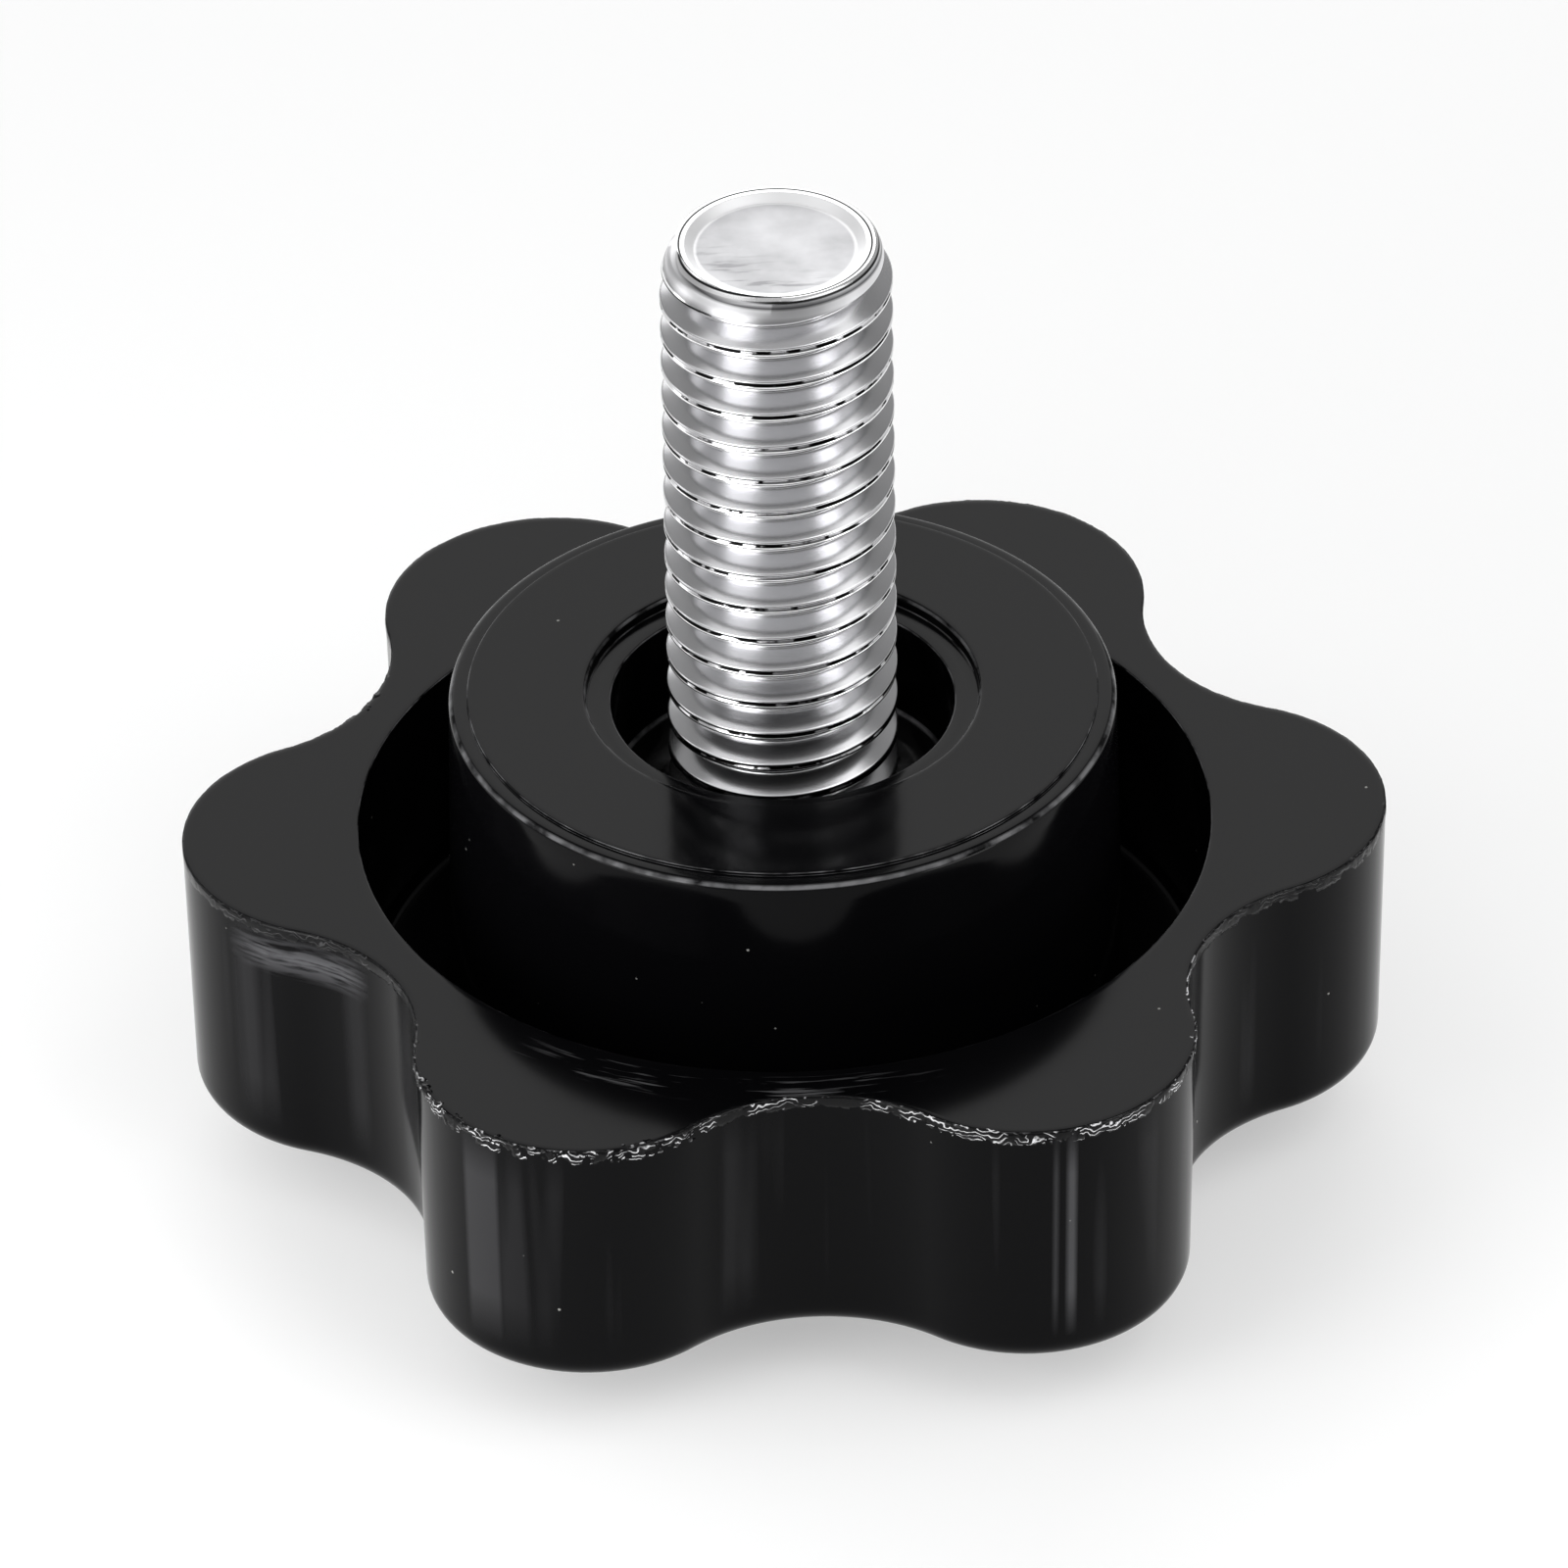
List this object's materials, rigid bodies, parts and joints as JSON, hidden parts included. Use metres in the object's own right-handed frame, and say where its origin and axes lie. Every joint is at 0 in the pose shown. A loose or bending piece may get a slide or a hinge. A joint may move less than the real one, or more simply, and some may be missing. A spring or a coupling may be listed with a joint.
{
  "type": "star knob",
  "caption": "Star knob: black glossy lobed hand knob with a low dome, a ring-shaped well, a raised hub and a plated steel threaded stud moulded into it.",
  "frame": {"origin": "lowest point of the dome, on the stud's axis, where the knob stands with its stud up", "axes": "+Z along the stud, from the dome towards the stud's free end; +X through one lobe"},
  "size_m": [0.05, 0.0452, 0.0438],
  "materials": {
    "black_plastic": "glossy black moulded plastic, with flash left along the rim and faint scuffs",
    "plated_steel": "bright zinc plating over a rolled thread"
  },
  "bodies": {
    "root": {"knob_body": "black_plastic", "threaded_stud": "plated_steel"}
  },
  "joints": []
}
